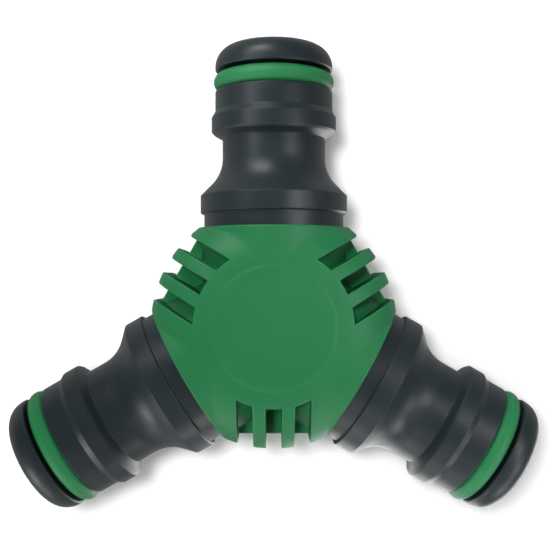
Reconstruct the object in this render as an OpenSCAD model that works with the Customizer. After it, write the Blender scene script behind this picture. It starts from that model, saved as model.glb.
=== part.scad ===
// Three-way hose connector: three quick-connect spigots at 120 degrees, moulded as one hollow
// body, inside a ribbed grip cover. Millimetres. The three spigot axes cross at the origin,
// one spigot points along +Y, and +Z leaves the middle of the upper face.

/* [Grip cover] */
// Diameter of the cover's rim seen from above
cover_d = 32.8; // [32.6:0.1:35]
// Height of the cover from its lower pad to its upper pad
cover_h = 22; // [21.8:0.1:25]
// Radius that rounds the cover's rim over to its two faces
rim_round = 8; // [5:0.1:9]
// Diameter of the flat pad in the middle of each face
pad_d = 15.4; // [13:0.1:16]
// How far each pad stands above the face around it
pad_rise = 0.15; // [0.1:0.05:0.25]
// Width of the slope that leads from the face up to the pad
pad_slope = 0.5; // [0.2:0.05:0.8]
// Diameter of the rounds that make the sleeve that each spigot leaves the cover by
sleeve_d = 20.9; // [20.4:0.1:20.9]
// How far each round is lifted from the spigot's axis
sleeve_lift = 0.5; // [0.2:0.05:0.5]
// Distance from the centre to the flat mouth of each sleeve
mouth_reach = 13; // [12.5:0.1:13.1]

/* [Slots and ribs] */
// Width of one slot
slot_w = 2.05; // [1.6:0.05:2.3]
// Thickness of the rib between two slots
rib_w = 1.65; // [1.3:0.05:1.9]
// Diameter of the circle that the slots' inner ends lie on
slot_end_d = 20.4; // [19:0.1:22]
// Diameter of the round floor that the slots reach down to
slot_floor_d = 19.6; // [18:0.1:20.2]
// Thickness of the web that joins the ribs at mid height
web_t = 2; // [1:0.1:3]
// Distance from the centre to the straight outer edge of the web
web_reach = 14.8; // [14:0.1:15.4]
// Rounding of the upright corners where a slot meets the rim
rib_round = 0.5; // [0.2:0.05:0.6]

/* [Spigots] */
// Diameter of the tube that runs inside the cover
core_d = 14.8; // [13:0.1:16]
// How far the middle of the moulding is thicker than its tubes
hub_extra = 0.3; // [0.1:0.05:0.5]
// Thickness of the cover between the middle of the moulding and the slots' inner ends
cover_wall = 1.5; // [1:0.1:2]
// Diameter of the collar between the cover and the flange
collar_d = 19; // [18:0.1:19.2]
// Depth of the collar's seat inside the mouth
collar_seat = 1; // [0.5:0.1:1.2]
// Length of collar that shows between the mouth and the flange
collar_len = 2.05; // [1:0.05:4]
// Diameter of the flange
flange_d = 20; // [19.6:0.1:21]
// Width of the flange
flange_w = 2.45; // [1.5:0.05:4]
// Diameter of the neck that the coupling's catch drops into
neck_d = 14; // [13:0.1:14.6]
// Radius of the hollow blend between the flange's cone and the neck
neck_blend = 5.1; // [3:0.1:6]
// Length of the straight part of the neck
neck_len = 2.65; // [1:0.05:5]
// Diameter of the catch ring
catch_d = 17; // [16.6:0.1:17.4]
// Width of the catch ring
catch_w = 2.05; // [1:0.05:3]
// Length of the catch ring's steep side, towards the hub
catch_back = 0.8; // [0.4:0.05:1.2]
// Length of the catch ring's easy side, towards the tip
catch_lead = 0.85; // [0.4:0.05:1.5]
// Diameter of the land that guides and seals in the coupling
land_d = 16; // [15.6:0.1:16.4]
// Length of the land between the catch ring and the groove
land_len = 2.8; // [2:0.05:4]
// Length of the cap beyond the groove
cap_len = 3.45; // [3.35:0.05:5]
// Radius that rounds the cap's nose
nose_round = 2.9; // [1:0.1:3]
// Small bevel on the sharp edges of the flange and the groove
edge_break = 0.15; // [0.05:0.05:0.3]

/* [Seals and water ways] */
// Thickness of the sealing ring's cord
seal_cord = 2.4; // [2:0.05:2.6]
// How far the sealing ring stands above the land
seal_proud = 0.2; // [0.05:0.05:0.25]
// Free width of the groove beside the sealing ring
seal_play = 0.35; // [0.15:0.05:0.6]
// Gap between the sealing ring and the groove that it sits in
seal_seat = 0.02; // [0.01:0.01:0.05]
// Diameter of the water way through each spigot
bore_d = 9; // [6:0.1:9.4]
// Bevel at the mouth of each water way
bore_bevel = 0.3; // [0.1:0.05:0.35]

/* [Hidden] */
$fn = 96;
eps = 0.01;

// Turns about Z that take a thing on +Y to the spigots, and to the corners between them
arm_turns = [0, 120, 240];
corner_turns = [60, 180, 300];

cover_r = cover_d / 2;
pad_r = pad_d / 2;
face_z = cover_h / 2 - pad_rise;
rim_z = face_z - rim_round;
slot_pitch = slot_w + rib_w;
// The sleeves start just clear of one another, hidden under the pads
sleeve_root = sleeve_d / 2 * tan(30) + 0.1;

core_r = core_d / 2;
collar_r = collar_d / 2;
flange_r = flange_d / 2;
neck_r = neck_d / 2;
catch_r = catch_d / 2;
land_r = land_d / 2;
bore_r = bore_d / 2;
hub_r = slot_end_d / 2 - cover_wall;
// The well just takes in the lines where two water ways would cross
well_r = bore_r / cos(30) + 0.1;
seal_r = land_r + seal_proud - seal_cord / 2;
groove_r = seal_r - seal_cord / 2 - seal_seat;
groove_w = seal_cord + seal_seat + seal_play;

// The flange's 45 degree cone ends where it runs tangent into the neck's blend
blend_rise = neck_blend * (1 - cos(45));

// Stations along a spigot, measured from the hub's centre
s_seat = mouth_reach - collar_seat;
s_flange = mouth_reach + collar_len;
s_cone = s_flange + flange_w;
s_blend = s_cone + flange_r - neck_r - blend_rise;
s_neck = s_blend + neck_blend * sin(45);
s_catch_foot = s_neck + neck_len;
s_catch = s_catch_foot + catch_back;
s_lead = s_catch + catch_w;
s_land = s_lead + catch_lead;
s_groove = s_land + land_len;
s_cap = s_groove + groove_w;
s_tip = s_cap + cap_len;
s_seal = s_groove + seal_seat + seal_cord / 2;

// Lays a solid that was made up the Z axis down along the spigot at the given turn
module on_arm(turn) {
    rotate([-90, 0, turn]) children();
}

// The straight-sided profile of one spigot: radius across, station upwards
module spigot_outline() {
    e = edge_break;
    polygon([
        [0, 0],
        [core_r, 0],
        [core_r, s_seat],
        [collar_r, s_seat],
        [collar_r, s_flange],
        [flange_r - e, s_flange],
        [flange_r, s_flange + e],
        [flange_r, s_cone],
        [neck_r + blend_rise, s_blend],
        [neck_r + blend_rise, s_neck],
        [neck_r, s_neck],
        [neck_r, s_catch_foot],
        [catch_r, s_catch],
        [catch_r, s_lead],
        [land_r, s_land],
        [land_r, s_groove - e],
        [land_r - e, s_groove],
        [groove_r, s_groove],
        [groove_r, s_cap],
        [land_r - e, s_cap],
        [land_r, s_cap + e],
        [land_r, s_tip - nose_round],
        [land_r - nose_round, s_tip - nose_round],
        [land_r - nose_round, s_tip],
        [0, s_tip]
    ]);
}

// The same profile with the hollow blend above the neck and the rounded nose
module spigot_profile() {
    difference() {
        spigot_outline();
        translate([neck_r + neck_blend, s_neck]) circle(neck_blend);
    }
    intersection() {
        translate([land_r - nose_round, s_tip - nose_round]) circle(nose_round);
        translate([0, s_cap + edge_break]) square([land_r, cap_len]);
    }
}

// The outside of the moulding: three spigots whose tubes run into a short drum
module moulding() {
    cylinder(r = hub_r, h = 2 * (core_r + hub_extra), center = true);
    for (turn = arm_turns)
        on_arm(turn) rotate_extrude() spigot_profile();
}

// The three water ways and the round well in which they meet
module water_ways() {
    sphere(well_r);
    for (turn = arm_turns)
        on_arm(turn) {
            cylinder(r = bore_r, h = s_tip + 1);
            translate([0, 0, s_tip - bore_bevel])
                cylinder(r1 = bore_r, r2 = bore_r + 2 * bore_bevel, h = 2 * bore_bevel);
        }
}

// One hollow moulding with its three spigots
module body() {
    color("#353b40") difference() {
        moulding();
        water_ways();
    }
}

// The cover's puck: two flat faces and a rim rounded over from an upright band
module puck() {
    rotate_extrude() {
        translate([0, -face_z]) square([cover_r - rim_round, 2 * face_z]);
        translate([0, -rim_z]) square([cover_r, 2 * rim_z]);
        for (side = [-1, 1])
            scale([1, side]) intersection() {
                translate([cover_r - rim_round, rim_z]) circle(rim_round);
                square([cover_r, face_z]);
            }
    }
}

// The sleeves that carry the cover out to its mouths, each of two rounds lifted to either face
module sleeves() {
    intersection() {
        for (turn = arm_turns, side = [-1, 1])
            on_arm(turn) translate([0, side * sleeve_lift, sleeve_root])
                cylinder(d = sleeve_d, h = cover_r);
        cylinder(r = cover_r, h = cover_h, center = true);
    }
}

// The two flat pads, as one disc with sloping edges
module pads() {
    rotate_extrude() polygon([
        [0, -cover_h / 2],
        [pad_r, -cover_h / 2],
        [pad_r + pad_slope, -face_z],
        [pad_r + pad_slope, face_z],
        [pad_r, cover_h / 2],
        [0, cover_h / 2]
    ]);
}

// A three-sided plate about Z, its flats at the given reach, one of them facing the given way
module three_flats(reach, height, facing) {
    rotate(facing + 60) cylinder(r = 2 * reach, h = height, center = true, $fn = 3);
}

// The cover without its slots, cut off flat at the three mouths
module cover_blank() {
    intersection() {
        union() {
            puck();
            sleeves();
            pads();
        }
        three_flats(mouth_reach, cover_h + 1, 90);
    }
}

// Rounds off, in plan, the corner where a slot's wall at x = wall meets the rim
module corner_round(wall) {
    x = wall + rib_round;
    y = sqrt(pow(cover_r - rib_round, 2) - pow(x, 2));
    far = cover_r + 2;
    difference() {
        polygon([
            [wall - eps, y],
            [x, y],
            [x * far / y, far],
            [wall - eps, far]
        ]);
        translate([x, y]) circle(rib_round);
    }
}

// The plan of the three slots at one corner, running out along +Y
module slot_plan() {
    for (k = [-1, 0, 1])
        translate([k * slot_pitch - slot_w / 2, 0]) square([slot_w, cover_r + 1]);
    for (side = [-1, 1], k = [-1, 0, 1])
        scale([side, 1]) corner_round(k * slot_pitch + slot_w / 2);
}

// All the slots: they stop at the ring round the pad, at the round floors and at the web
module slots() {
    difference() {
        for (turn = corner_turns)
            rotate(turn) linear_extrude(cover_h + 1, center = true) slot_plan();
        cylinder(d = slot_end_d, h = cover_h + 2, center = true);
        for (turn = arm_turns)
            on_arm(turn) cylinder(d = slot_floor_d, h = cover_r + 2);
        three_flats(web_reach, web_t, 30);
    }
}

// The grip cover, one moulding over the middle of the body
module hub_cover() {
    color("#2f7d4c") difference() {
        cover_blank();
        slots();
        moulding();
    }
}

// The sealing ring in the groove of the spigot at the given turn
module seal_ring(turn) {
    color("#2f7d4c") on_arm(turn) translate([0, 0, s_seal])
        rotate_extrude() translate([seal_r, 0]) circle(d = seal_cord, $fn = 48);
}

module seal_ring_a() { seal_ring(arm_turns[0]); }
module seal_ring_b() { seal_ring(arm_turns[1]); }
module seal_ring_c() { seal_ring(arm_turns[2]); }

body();
hub_cover();
seal_ring_a();
seal_ring_b();
seal_ring_c();
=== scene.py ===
import math

import bpy
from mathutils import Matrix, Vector


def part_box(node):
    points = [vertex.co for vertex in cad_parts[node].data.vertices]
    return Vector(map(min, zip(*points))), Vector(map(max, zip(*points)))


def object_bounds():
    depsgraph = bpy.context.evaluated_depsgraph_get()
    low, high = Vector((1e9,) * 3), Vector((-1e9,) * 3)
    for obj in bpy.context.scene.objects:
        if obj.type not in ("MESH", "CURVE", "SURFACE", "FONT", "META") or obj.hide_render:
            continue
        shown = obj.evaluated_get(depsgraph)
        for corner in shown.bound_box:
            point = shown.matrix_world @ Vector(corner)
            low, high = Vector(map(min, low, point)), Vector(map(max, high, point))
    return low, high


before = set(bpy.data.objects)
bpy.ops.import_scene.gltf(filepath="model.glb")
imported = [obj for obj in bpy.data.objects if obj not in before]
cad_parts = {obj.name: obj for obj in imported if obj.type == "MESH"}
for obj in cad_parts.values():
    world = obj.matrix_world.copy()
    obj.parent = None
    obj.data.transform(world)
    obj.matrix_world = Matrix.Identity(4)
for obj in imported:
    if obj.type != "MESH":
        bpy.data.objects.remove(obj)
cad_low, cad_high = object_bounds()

# Camera. The connector is seen from straight above, from a hand's breadth away. The middle of
# the picture lies between the hub and the spigot that points up, and the hub stands a little
# to the left of it.
MM_PER_M = 1000
PICTURE_PX = 560
PX_PER_MM_AT_AXES = 7.293
HUB_X_PX = 273.8
SENSOR_MM = 36
CAMERA_HEIGHT = 0.125
CAMERA_Y = 0.00605

seen_width = PICTURE_PX / PX_PER_MM_AT_AXES / MM_PER_M
lens = bpy.data.cameras.new("camera")
lens.sensor_width = SENSOR_MM
lens.lens = SENSOR_MM * CAMERA_HEIGHT / seen_width
lens.shift_x = (PICTURE_PX / 2 - HUB_X_PX) / PICTURE_PX
lens.clip_start = 0.01
lens.clip_end = 20
camera = bpy.data.objects.new("camera", lens)
camera.location = (0, CAMERA_Y, CAMERA_HEIGHT)
bpy.context.collection.objects.link(camera)
bpy.context.scene.camera = camera
bpy.context.scene.view_settings.view_transform = "Standard"

# Light. Soft boxes stand round the connector, most of them with a honeycomb that keeps their
# beam on one spigot. A box is named by where it stands, and its strength is what it adds to a
# white card that faces it, the full white being 1.
HUB = (0, 0, 0)
UPPER_SPIGOT = (0, 0.027, 0.006)
UPPER_END = (0, 0.035, 0.006)
UPPER_FLANGE = (0, 0.0165, 0.006)
LEFT_SPIGOT = (-0.022, -0.013, 0.006)
RIGHT_SPIGOT = (0.022, -0.013, 0.006)
RIGHT_CAP = (0.031, -0.018, 0.004)
OPEN_BEAM = 180

# Two boxes light the table alone, for its shadows. Every other box lights the connector alone,
# as if the table weren't there, so those that stand under it reach the lower face.
off_table = bpy.data.collections.new("off_table")
on_table = bpy.data.collections.new("on_table")


def soft_box(
    name, azimuth, elevation, aim, distance, side, strength,
    beam=OPEN_BEAM, shows=True, lights=off_table,
):
    """A square soft box that faces its aim; azimuth is 0 along +X and 90 along +Y."""
    box_data = bpy.data.lights.new(name, "AREA")
    box_data.size = side
    box_data.spread = math.radians(beam)
    # A narrow beam gathers the same power on a smaller patch, by this much
    closed = (math.pi - box_data.spread) / 2
    gathered = 2 / (2 + (2 * closed - math.pi) * math.tan(closed))
    box_data.energy = strength * (math.pi * distance) ** 2 / gathered
    box = bpy.data.objects.new(name, box_data)
    turn = math.radians(azimuth)
    rise = math.radians(elevation)
    level = math.cos(rise)
    outward = Vector((math.cos(turn) * level, math.sin(turn) * level, math.sin(rise)))
    box.location = Vector(aim) + outward * distance
    box.rotation_euler = outward.to_track_quat("Z", "Y").to_euler()
    box.visible_glossy = shows
    box.light_linking.receiver_collection = lights
    if lights is off_table:
        box.light_linking.blocker_collection = off_table
    bpy.context.collection.objects.link(box)


# From above: the main light on the connector and the two on the table
soft_box("ceiling_box", 135, 79, HUB, distance=0.6, side=0.07, strength=0.8, shows=False)
soft_box(
    "table_key", 135, 78, HUB, distance=0.2, side=0.035, strength=0.75,
    shows=False, lights=on_table,
)
soft_box("overhead_box", 90, 88, HUB, distance=0.6, side=0.4, strength=0.1, shows=False)
soft_box(
    "table_box", 135, 84, HUB, distance=0.6, side=0.5, strength=0.72,
    shows=False, lights=on_table,
)

# Low fills on four sides, so that no side of the connector is black when it is turned
FILL_ELEVATION = 6
for name, azimuth, strength in (
    ("fill_right", 0, 0.1),
    ("fill_back", 90, 0.2),
    ("fill_left", 180, 0.2),
    ("fill_front", 270, 0.2),
):
    soft_box(
        name, azimuth, FILL_ELEVATION, HUB, distance=0.4, side=0.06, strength=strength,
        shows=False,
    )

# Under the table, for the lower face and for the light that creeps up under the spigots
soft_box("under_front", 320, -52, HUB, distance=0.4, side=0.26, strength=0.42)
soft_box("under_back", 138, -50, HUB, distance=0.4, side=0.2, strength=0.5, shows=False)

# A broad faint one on the whole connector, and then the honeycombs of each spigot
soft_box("front_left_box", 225, 25, HUB, distance=0.6, side=0.25, strength=0.07)
soft_box("upper_key", 116, 34, UPPER_SPIGOT, distance=0.1, side=0.057, strength=2.2, beam=28)
soft_box("upper_back", 145, 34, UPPER_SPIGOT, distance=0.15, side=0.05, strength=0.26, beam=22)
soft_box("upper_left", 178, 46, UPPER_END, distance=0.08, side=0.025, strength=0.46, beam=20)
soft_box("upper_right", 2, 56, UPPER_FLANGE, distance=0.08, side=0.03, strength=0.34, beam=24)
soft_box("upper_front", 300, 45, UPPER_SPIGOT, distance=0.15, side=0.05, strength=0.1, beam=36)
soft_box("left_back", 100, 8, LEFT_SPIGOT, distance=0.2, side=0.07, strength=0.02, beam=50)
soft_box("left_front", 308, 8, LEFT_SPIGOT, distance=0.2, side=0.07, strength=0.12, beam=50)
soft_box("left_end", 225, 8, LEFT_SPIGOT, distance=0.2, side=0.07, strength=0.31, beam=50)
soft_box("right_key", 348, 46, RIGHT_SPIGOT, distance=0.15, side=0.09, strength=0.5, beam=28)
soft_box("right_side", 15, 50, RIGHT_SPIGOT, distance=0.15, side=0.06, strength=0.44, beam=32)
soft_box("right_front", 243, 45, RIGHT_SPIGOT, distance=0.15, side=0.07, strength=0.2, beam=32)
soft_box("right_low", 245, 5, RIGHT_SPIGOT, distance=0.2, side=0.12, strength=0.3, beam=50)
soft_box("right_end", 290, 9, RIGHT_SPIGOT, distance=0.2, side=0.07, strength=0.2, beam=50)
soft_box("right_cap", 326, 26, RIGHT_CAP, distance=0.08, side=0.035, strength=0.42, beam=34)

# Room. The studio's walls are painted white, and the camera sees them so. Black flags keep
# most of their light off the connector, so what they lend to the surfaces is much dimmer.
WHITE = (1, 1, 1, 1)
ROOM_GLOW = 0.08
room = bpy.data.worlds.new("room")
room.use_nodes = True
room_nodes = room.node_tree.nodes
room_links = room.node_tree.links
room_nodes.clear()
seen_room = room_nodes.new("ShaderNodeBackground")
seen_room.inputs["Color"].default_value = WHITE
seen_room.inputs["Strength"].default_value = 1
lent_room = room_nodes.new("ShaderNodeBackground")
lent_room.inputs["Color"].default_value = WHITE
lent_room.inputs["Strength"].default_value = ROOM_GLOW
room_ray = room_nodes.new("ShaderNodeLightPath")
room_mix = room_nodes.new("ShaderNodeMixShader")
room_links.new(room_ray.outputs["Is Camera Ray"], room_mix.inputs["Fac"])
room_links.new(lent_room.outputs["Background"], room_mix.inputs[1])
room_links.new(seen_room.outputs["Background"], room_mix.inputs[2])
room_out = room_nodes.new("ShaderNodeOutputWorld")
room_links.new(room_mix.outputs["Shader"], room_out.inputs["Surface"])
bpy.context.scene.world = room

# Table. A sheet of white card that the connector lies on, on its lower pad. What it throws
# back onto the connector is darker than the card looks, as with black flags round a product.
CARD_HALF = 1.5
CARD_SEEN = 0.95
CARD_LENT = 0.3
SWEEP_STARTS = 0.07
SWEEP_DONE = 0.16
table_z = cad_low[2]
table_mesh = bpy.data.meshes.new("table")
table_mesh.from_pydata(
    [
        (-CARD_HALF, -CARD_HALF, table_z),
        (CARD_HALF, -CARD_HALF, table_z),
        (CARD_HALF, CARD_HALF, table_z),
        (-CARD_HALF, CARD_HALF, table_z),
    ],
    [],
    [(0, 1, 2, 3)],
)
table = bpy.data.objects.new("table", table_mesh)
bpy.context.collection.objects.link(table)
card = bpy.data.materials.new("white_card")
card.use_nodes = True
card_nodes = card.node_tree.nodes
card_links = card.node_tree.links
card_nodes.clear()
seen_card = card_nodes.new("ShaderNodeBsdfDiffuse")
seen_card.inputs["Color"].default_value = (CARD_SEEN, CARD_SEEN, CARD_SEEN, 1)

# Far from the connector the card sweeps up into the white of the room
card_place = card_nodes.new("ShaderNodeTexCoord")
card_reach = card_nodes.new("ShaderNodeVectorMath")
card_reach.operation = "LENGTH"
card_links.new(card_place.outputs["Object"], card_reach.inputs[0])
sweep = card_nodes.new("ShaderNodeMapRange")
sweep.interpolation_type = "SMOOTHSTEP"
sweep.inputs["From Min"].default_value = SWEEP_STARTS
sweep.inputs["From Max"].default_value = SWEEP_DONE
card_links.new(card_reach.outputs["Value"], sweep.inputs["Value"])
far_card = card_nodes.new("ShaderNodeEmission")
swept_card = card_nodes.new("ShaderNodeMixShader")
card_links.new(sweep.outputs["Result"], swept_card.inputs["Fac"])
card_links.new(seen_card.outputs["BSDF"], swept_card.inputs[1])
card_links.new(far_card.outputs["Emission"], swept_card.inputs[2])
lent_card = card_nodes.new("ShaderNodeBsdfDiffuse")
lent_card.inputs["Color"].default_value = (CARD_LENT, CARD_LENT, CARD_LENT, 1)
card_ray = card_nodes.new("ShaderNodeLightPath")
card_mix = card_nodes.new("ShaderNodeMixShader")
card_links.new(card_ray.outputs["Is Camera Ray"], card_mix.inputs["Fac"])
card_links.new(lent_card.outputs["BSDF"], card_mix.inputs[1])
card_links.new(swept_card.outputs["Shader"], card_mix.inputs[2])

# Seen from under the table it is clear, so that the lower face can be looked at
card_side = card_nodes.new("ShaderNodeNewGeometry")
from_under = card_nodes.new("ShaderNodeMath")
from_under.operation = "MULTIPLY"
card_links.new(card_side.outputs["Backfacing"], from_under.inputs[0])
card_links.new(card_ray.outputs["Is Camera Ray"], from_under.inputs[1])
clear_card = card_nodes.new("ShaderNodeBsdfTransparent")
one_sided = card_nodes.new("ShaderNodeMixShader")
card_links.new(from_under.outputs["Value"], one_sided.inputs["Fac"])
card_links.new(card_mix.outputs["Shader"], one_sided.inputs[1])
card_links.new(clear_card.outputs["BSDF"], one_sided.inputs[2])
card_out = card_nodes.new("ShaderNodeOutputMaterial")
card_links.new(one_sided.outputs["Shader"], card_out.inputs["Surface"])
table_mesh.materials.append(card)
off_table.objects.link(table)
off_table.collection_objects[0].light_linking.link_state = "EXCLUDE"
on_table.objects.link(table)

# Reflector. A small bright card lies on the table beside the right spigot. The camera doesn't
# see it and it lights no surface: it shows only as a sheen in the plastic above it.
REFLECTOR_PLACE = (0.0147, -0.0345, table_z + 0.0002)
REFLECTOR_TURN = -30
REFLECTOR_HALF_LENGTH = 0.014
REFLECTOR_HALF_WIDTH = 0.011
REFLECTOR_COLOUR = (0.9, 0.9, 0.9, 1)
REFLECTOR_ROUGHNESS = 0.9
REFLECTOR_GLOW = 1.5
reflector_mesh = bpy.data.meshes.new("reflector")
reflector_mesh.from_pydata(
    [
        (-REFLECTOR_HALF_LENGTH, -REFLECTOR_HALF_WIDTH, 0),
        (REFLECTOR_HALF_LENGTH, -REFLECTOR_HALF_WIDTH, 0),
        (REFLECTOR_HALF_LENGTH, REFLECTOR_HALF_WIDTH, 0),
        (-REFLECTOR_HALF_LENGTH, REFLECTOR_HALF_WIDTH, 0),
    ],
    [],
    [(0, 1, 2, 3)],
)
reflector = bpy.data.objects.new("reflector", reflector_mesh)
reflector.location = REFLECTOR_PLACE
reflector.rotation_euler = (0, 0, math.radians(REFLECTOR_TURN))
reflector.visible_camera = False
reflector.visible_diffuse = False
reflector.visible_shadow = False
bpy.context.collection.objects.link(reflector)
bright_card = bpy.data.materials.new("bright_card")
bright_card.use_nodes = True
bright_shader = bright_card.node_tree.nodes["Principled BSDF"]
bright_shader.inputs["Base Color"].default_value = REFLECTOR_COLOUR
bright_shader.inputs["Roughness"].default_value = REFLECTOR_ROUGHNESS
bright_shader.inputs["Emission Color"].default_value = WHITE
bright_shader.inputs["Emission Strength"].default_value = REFLECTOR_GLOW
reflector_mesh.materials.append(bright_card)

# Body. The three spigots and the tubes behind them are one hollow injection moulding in dark
# slate grey plastic. It leaves the mould with a fine satin grain, faint flow marks and a thin
# parting line where the two halves of the mould met, and its sharp edges are a little broken.
BODY_DARK = (0.0108, 0.016, 0.0181)
BODY_LIGHT = (0.0139, 0.02, 0.0226)
# BODY_EDGE is a painted edge highlight: the pale colour the edges take where light catches them
BODY_EDGE = (0.035, 0.042, 0.048)
BODY_GRAIN_MM = 0.11
BODY_PATCHES_MM = 2.2
BODY_EDGE_MM = 0.18
BODY_ROUGH = (0.36, 0.44)
UP = (0, 0, 1)

# The skin that a mould leaves: a fine grain, patches a few millimetres wide, and slow waves
GRAIN_DETAIL = 2
PATCHES_DETAIL = 3
WAVES_DETAIL = 1
WAVES_PER_MM = 0.12
skin = bpy.data.node_groups.new("moulded_skin", "ShaderNodeTree")
for socket in ("Grain per mm", "Patches per mm"):
    skin.interface.new_socket(socket, in_out="INPUT", socket_type="NodeSocketFloat")
for socket in ("Grain", "Patches", "Waves"):
    skin.interface.new_socket(socket, in_out="OUTPUT", socket_type="NodeSocketFloat")
skin_in = skin.nodes.new("NodeGroupInput")
skin_out = skin.nodes.new("NodeGroupOutput")
skin_place = skin.nodes.new("ShaderNodeTexCoord")
skin_mm = skin.nodes.new("ShaderNodeVectorMath")
skin_mm.operation = "SCALE"
skin_mm.inputs["Scale"].default_value = MM_PER_M
skin.links.new(skin_place.outputs["Object"], skin_mm.inputs[0])
for socket, feed, detail in (
    ("Grain", "Grain per mm", GRAIN_DETAIL),
    ("Patches", "Patches per mm", PATCHES_DETAIL),
    ("Waves", None, WAVES_DETAIL),
):
    noise = skin.nodes.new("ShaderNodeTexNoise")
    noise.inputs["Scale"].default_value = WAVES_PER_MM
    noise.inputs["Detail"].default_value = detail
    skin.links.new(skin_mm.outputs["Vector"], noise.inputs["Vector"])
    if feed:
        skin.links.new(skin_in.outputs[feed], noise.inputs["Scale"])
    skin.links.new(noise.outputs["Fac"], skin_out.inputs[socket])

# Broken edges: a normal that turns over the edge, and a mask that is 1 where it turns most. How
# far it turns is told by a cosine, which is 1 on a flat face.
EDGE_SAMPLES = 6
EDGE_STARTS_COSINE = 0.995
EDGE_FULL_COSINE = 0.88
edges = bpy.data.node_groups.new("broken_edges", "ShaderNodeTree")
edges.interface.new_socket("Radius", in_out="INPUT", socket_type="NodeSocketFloat")
edges.interface.new_socket("Normal", in_out="OUTPUT", socket_type="NodeSocketVector")
edges.interface.new_socket("Edge", in_out="OUTPUT", socket_type="NodeSocketFloat")
edges_in = edges.nodes.new("NodeGroupInput")
edges_out = edges.nodes.new("NodeGroupOutput")
edge_round = edges.nodes.new("ShaderNodeBevel")
edge_round.samples = EDGE_SAMPLES
edges.links.new(edges_in.outputs["Radius"], edge_round.inputs["Radius"])
edges.links.new(edge_round.outputs["Normal"], edges_out.inputs["Normal"])
flat_normal = edges.nodes.new("ShaderNodeNewGeometry")
edge_turn = edges.nodes.new("ShaderNodeVectorMath")
edge_turn.operation = "DOT_PRODUCT"
edges.links.new(edge_round.outputs["Normal"], edge_turn.inputs[0])
edges.links.new(flat_normal.outputs["Normal"], edge_turn.inputs[1])
edge_mask = edges.nodes.new("ShaderNodeMapRange")
edge_mask.interpolation_type = "SMOOTHSTEP"
edge_mask.inputs["From Min"].default_value = EDGE_STARTS_COSINE
edge_mask.inputs["From Max"].default_value = EDGE_FULL_COSINE
edges.links.new(edge_turn.outputs["Value"], edge_mask.inputs["Value"])
edges.links.new(edge_mask.outputs["Result"], edges_out.inputs["Edge"])

# A seam: 1 on a plane through a point, and 0 from half a width away from it
seam = bpy.data.node_groups.new("mould_seam", "ShaderNodeTree")
for socket in ("Point", "Across"):
    seam.interface.new_socket(socket, in_out="INPUT", socket_type="NodeSocketVector")
seam.interface.new_socket("Half Width", in_out="INPUT", socket_type="NodeSocketFloat")
seam.interface.new_socket("Seam", in_out="OUTPUT", socket_type="NodeSocketFloat")
seam_in = seam.nodes.new("NodeGroupInput")
seam_out = seam.nodes.new("NodeGroupOutput")
seam_place = seam.nodes.new("ShaderNodeTexCoord")
seam_offset = seam.nodes.new("ShaderNodeVectorMath")
seam_offset.operation = "SUBTRACT"
seam.links.new(seam_place.outputs["Object"], seam_offset.inputs[0])
seam.links.new(seam_in.outputs["Point"], seam_offset.inputs[1])
seam_side = seam.nodes.new("ShaderNodeVectorMath")
seam_side.operation = "DOT_PRODUCT"
seam.links.new(seam_offset.outputs["Vector"], seam_side.inputs[0])
seam.links.new(seam_in.outputs["Across"], seam_side.inputs[1])
seam_away = seam.nodes.new("ShaderNodeMath")
seam_away.operation = "ABSOLUTE"
seam.links.new(seam_side.outputs["Value"], seam_away.inputs[0])
seam_fade = seam.nodes.new("ShaderNodeMapRange")
seam_fade.interpolation_type = "SMOOTHSTEP"
seam_fade.inputs["From Max"].default_value = 0
seam.links.new(seam_away.outputs["Value"], seam_fade.inputs["Value"])
seam.links.new(seam_in.outputs["Half Width"], seam_fade.inputs["From Min"])
seam.links.new(seam_fade.outputs["Result"], seam_out.inputs["Seam"])

# The moulded finish: the seam's half width and its height beside the waves, the part of the
# patches that the sheen follows, the depths of waves and grain, and a colour mixer's sockets
SEAM_HALF_WIDTH = 0.00007
SEAM_RISE = 0.4
SHEEN_FROM_PATCHES = (0.3, 0.7)
WAVES_STRENGTH = 0.5
WAVES_DEPTH = 0.00012
GRAIN_STRENGTH = 0.35
GRAIN_DEPTH = 0.000012
MIXER_AMOUNT = 0
MIXER_FIRST = 6
MIXER_SECOND = 7
MIXER_RESULT = 2


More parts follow.
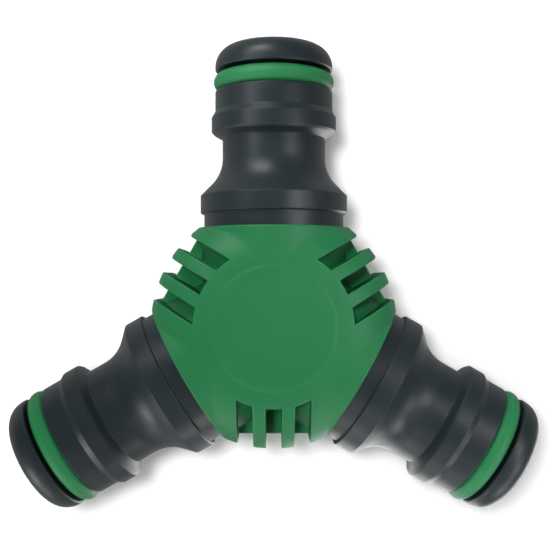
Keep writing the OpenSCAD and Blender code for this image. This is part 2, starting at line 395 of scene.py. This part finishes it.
def moulded(name, dark, light, edge, grain_mm, patches_mm, edge_mm, rough, seam_at, seam_across):
    """A moulded material: patchy colour, satin grain, broken edges with a painted highlight, and
    one parting line.
    """
    material = bpy.data.materials.new(name)
    material.use_nodes = True
    nodes = material.node_tree.nodes
    links = material.node_tree.links
    shader = nodes["Principled BSDF"]

    surface = nodes.new("ShaderNodeGroup")
    surface.node_tree = bpy.data.node_groups["moulded_skin"]
    surface.inputs["Grain per mm"].default_value = 1 / grain_mm
    surface.inputs["Patches per mm"].default_value = 1 / patches_mm
    rounding = nodes.new("ShaderNodeGroup")
    rounding.node_tree = bpy.data.node_groups["broken_edges"]
    rounding.name = "rounding"
    rounding.inputs["Radius"].default_value = edge_mm / MM_PER_M
    parting = nodes.new("ShaderNodeGroup")
    parting.node_tree = bpy.data.node_groups["mould_seam"]
    parting.inputs["Point"].default_value = seam_at
    parting.inputs["Across"].default_value = seam_across
    parting.inputs["Half Width"].default_value = SEAM_HALF_WIDTH

    # The colour goes from dark to light by the patches, and is painted paler along the edges as
    # a highlight
    patchy = nodes.new("ShaderNodeMix")
    patchy.data_type = "RGBA"
    patchy.inputs[MIXER_FIRST].default_value = (*dark, 1)
    patchy.inputs[MIXER_SECOND].default_value = (*light, 1)
    links.new(surface.outputs["Patches"], patchy.inputs[MIXER_AMOUNT])
    # Painted highlight: the edge colour is mixed in where the rounding turns most, more on the
    # lighter patches
    painted_edge_highlight = nodes.new("ShaderNodeMix")
    painted_edge_highlight.data_type = "RGBA"
    painted_edge_highlight.inputs[MIXER_SECOND].default_value = (*edge, 1)
    highlight_amount = nodes.new("ShaderNodeMath")
    highlight_amount.operation = "MULTIPLY"
    links.new(rounding.outputs["Edge"], highlight_amount.inputs[0])
    links.new(surface.outputs["Patches"], highlight_amount.inputs[1])
    links.new(highlight_amount.outputs["Value"], painted_edge_highlight.inputs[MIXER_AMOUNT])
    links.new(patchy.outputs[MIXER_RESULT], painted_edge_highlight.inputs[MIXER_FIRST])
    links.new(painted_edge_highlight.outputs[MIXER_RESULT], shader.inputs["Base Color"])

    satin = nodes.new("ShaderNodeMapRange")
    satin.inputs["From Min"].default_value = SHEEN_FROM_PATCHES[0]
    satin.inputs["From Max"].default_value = SHEEN_FROM_PATCHES[1]
    satin.inputs["To Min"].default_value = rough[0]
    satin.inputs["To Max"].default_value = rough[1]
    links.new(surface.outputs["Patches"], satin.inputs["Value"])
    links.new(satin.outputs["Result"], shader.inputs["Roughness"])

    # The parting line and the waves lie on the broken edges, and the grain on top of both
    slow = nodes.new("ShaderNodeMath")
    slow.operation = "MULTIPLY_ADD"
    slow.inputs[1].default_value = SEAM_RISE
    links.new(parting.outputs["Seam"], slow.inputs[0])
    links.new(surface.outputs["Waves"], slow.inputs[2])
    form = nodes.new("ShaderNodeBump")
    form.inputs["Strength"].default_value = WAVES_STRENGTH
    form.inputs["Distance"].default_value = WAVES_DEPTH
    links.new(slow.outputs["Value"], form.inputs["Height"])
    links.new(rounding.outputs["Normal"], form.inputs["Normal"])
    grain = nodes.new("ShaderNodeBump")
    grain.inputs["Strength"].default_value = GRAIN_STRENGTH
    grain.inputs["Distance"].default_value = GRAIN_DEPTH
    links.new(surface.outputs["Grain"], grain.inputs["Height"])
    links.new(form.outputs["Normal"], grain.inputs["Normal"])
    links.new(grain.outputs["Normal"], shader.inputs["Normal"])
    return material


slate = moulded(
    "slate_plastic",
    dark=BODY_DARK,
    light=BODY_LIGHT,
    edge=BODY_EDGE,
    grain_mm=BODY_GRAIN_MM,
    patches_mm=BODY_PATCHES_MM,
    edge_mm=BODY_EDGE_MM,
    rough=BODY_ROUGH,
    seam_at=HUB,
    seam_across=UP,
)
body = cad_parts["body"]
body.data.materials.clear()
body.data.materials.append(slate)

# Grip cover. One moulding in green plastic, pressed over the middle of the body, with a matter
# grain that gives the fingers hold. Its edges, the rib ends among them, are painted a little
# paler as a highlight.
COVER_DARK = (0.0071, 0.1125, 0.0352)
COVER_LIGHT = (0.009, 0.131, 0.0433)
# COVER_EDGE is a painted edge highlight
COVER_EDGE = (0.028, 0.2, 0.08)
COVER_GRAIN_MM = 0.16
COVER_PATCHES_MM = 3
COVER_EDGE_MM = 0.35
COVER_ROUGH = (0.48, 0.58)
green = moulded(
    "green_plastic",
    dark=COVER_DARK,
    light=COVER_LIGHT,
    edge=COVER_EDGE,
    grain_mm=COVER_GRAIN_MM,
    patches_mm=COVER_PATCHES_MM,
    edge_mm=COVER_EDGE_MM,
    rough=COVER_ROUGH,
    seam_at=HUB,
    seam_across=UP,
)

# Where a sleeve runs out of the puck the real cover has a wide hollow, so the rounding is wide
# there: in the fan between the pad and each mouth, and clear of the slots beside it. The fan
# has an inner and an outer edge along the sleeve, and its sides have a cosine from the sleeve.
FAN_ROUNDING_MM = 1.5
FAN_INNER_EDGE = 0.0083
FAN_INNER_FULL = 0.0094
FAN_OUTER_FULL = 0.0114
FAN_OUTER_EDGE = 0.0127
FAN_SIDE_COSINE = 0.86
FAN_FULL_COSINE = 0.9
SLEEVE_AZIMUTHS = (90, 210, 330)
cover_nodes = green.node_tree.nodes
cover_links = green.node_tree.links
cover_place = cover_nodes.new("ShaderNodeTexCoord")
in_plan = cover_nodes.new("ShaderNodeVectorMath")
in_plan.operation = "MULTIPLY"
in_plan.inputs[1].default_value = (1, 1, 0)
cover_links.new(cover_place.outputs["Object"], in_plan.inputs[0])

# How far a point lies out along the sleeve that is nearest to it
reach = None
for azimuth in SLEEVE_AZIMUTHS:
    turn = math.radians(azimuth)
    along = cover_nodes.new("ShaderNodeVectorMath")
    along.operation = "DOT_PRODUCT"
    along.inputs[1].default_value = (math.cos(turn), math.sin(turn), 0)
    cover_links.new(in_plan.outputs["Vector"], along.inputs[0])
    if reach is None:
        reach = along.outputs["Value"]
        continue
    nearest = cover_nodes.new("ShaderNodeMath")
    nearest.operation = "MAXIMUM"
    cover_links.new(reach, nearest.inputs[0])
    cover_links.new(along.outputs["Value"], nearest.inputs[1])
    reach = nearest.outputs["Value"]
radius = cover_nodes.new("ShaderNodeVectorMath")
radius.operation = "LENGTH"
cover_links.new(in_plan.outputs["Vector"], radius.inputs[0])
straightness = cover_nodes.new("ShaderNodeMath")
straightness.operation = "DIVIDE"
cover_links.new(reach, straightness.inputs[0])
cover_links.new(radius.outputs["Value"], straightness.inputs[1])

fan = None
for value, starts, full in (
    (reach, FAN_INNER_EDGE, FAN_INNER_FULL),
    (reach, FAN_OUTER_EDGE, FAN_OUTER_FULL),
    (straightness.outputs["Value"], FAN_SIDE_COSINE, FAN_FULL_COSINE),
):
    ramp = cover_nodes.new("ShaderNodeMapRange")
    ramp.interpolation_type = "SMOOTHSTEP"
    ramp.inputs["From Min"].default_value = starts
    ramp.inputs["From Max"].default_value = full
    cover_links.new(value, ramp.inputs["Value"])
    if fan is None:
        fan = ramp.outputs["Result"]
        continue
    both = cover_nodes.new("ShaderNodeMath")
    both.operation = "MULTIPLY"
    cover_links.new(fan, both.inputs[0])
    cover_links.new(ramp.outputs["Result"], both.inputs[1])
    fan = both.outputs["Value"]
# The wide rounding also widens the painted edge highlight in the fan
cover_rounding = cover_nodes.new("ShaderNodeMapRange")
cover_rounding.inputs["To Min"].default_value = COVER_EDGE_MM / MM_PER_M
cover_rounding.inputs["To Max"].default_value = FAN_ROUNDING_MM / MM_PER_M
cover_links.new(fan, cover_rounding.inputs["Value"])
cover_links.new(cover_rounding.outputs["Result"], cover_nodes["rounding"].inputs["Radius"])

hub_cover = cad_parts["hub_cover"]
hub_cover.data.materials.clear()
hub_cover.data.materials.append(green)

# Sealing rings. A round cord of green rubber, moulded as a ring, lies stretched in the groove
# of each spigot. A fine line of flash runs round its back where the mould closed.
RING_DARK = (0.0125, 0.145, 0.047)
RING_LIGHT = (0.0155, 0.165, 0.056)
# RING_EDGE is a painted edge highlight, paler where the rounding turns
RING_EDGE = (0.02, 0.18, 0.07)
RING_GRAIN_MM = 0.09
RING_PATCHES_MM = 1.2
RING_EDGE_MM = 0.05
RING_ROUGH = (0.5, 0.6)
RING_NODES = ("seal_ring_a", "seal_ring_b", "seal_ring_c")
for node, azimuth in zip(RING_NODES, SLEEVE_AZIMUTHS):
    ring_low, ring_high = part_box(node)
    turn = math.radians(azimuth)
    rubber = moulded(
        "green_rubber_" + node[-1],
        dark=RING_DARK,
        light=RING_LIGHT,
        edge=RING_EDGE,
        grain_mm=RING_GRAIN_MM,
        patches_mm=RING_PATCHES_MM,
        edge_mm=RING_EDGE_MM,
        rough=RING_ROUGH,
        seam_at=(Vector(ring_low) + Vector(ring_high)) / 2,
        seam_across=(math.cos(turn), math.sin(turn), 0),
    )
    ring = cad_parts[node]
    ring.data.materials.clear()
    ring.data.materials.append(rubber)
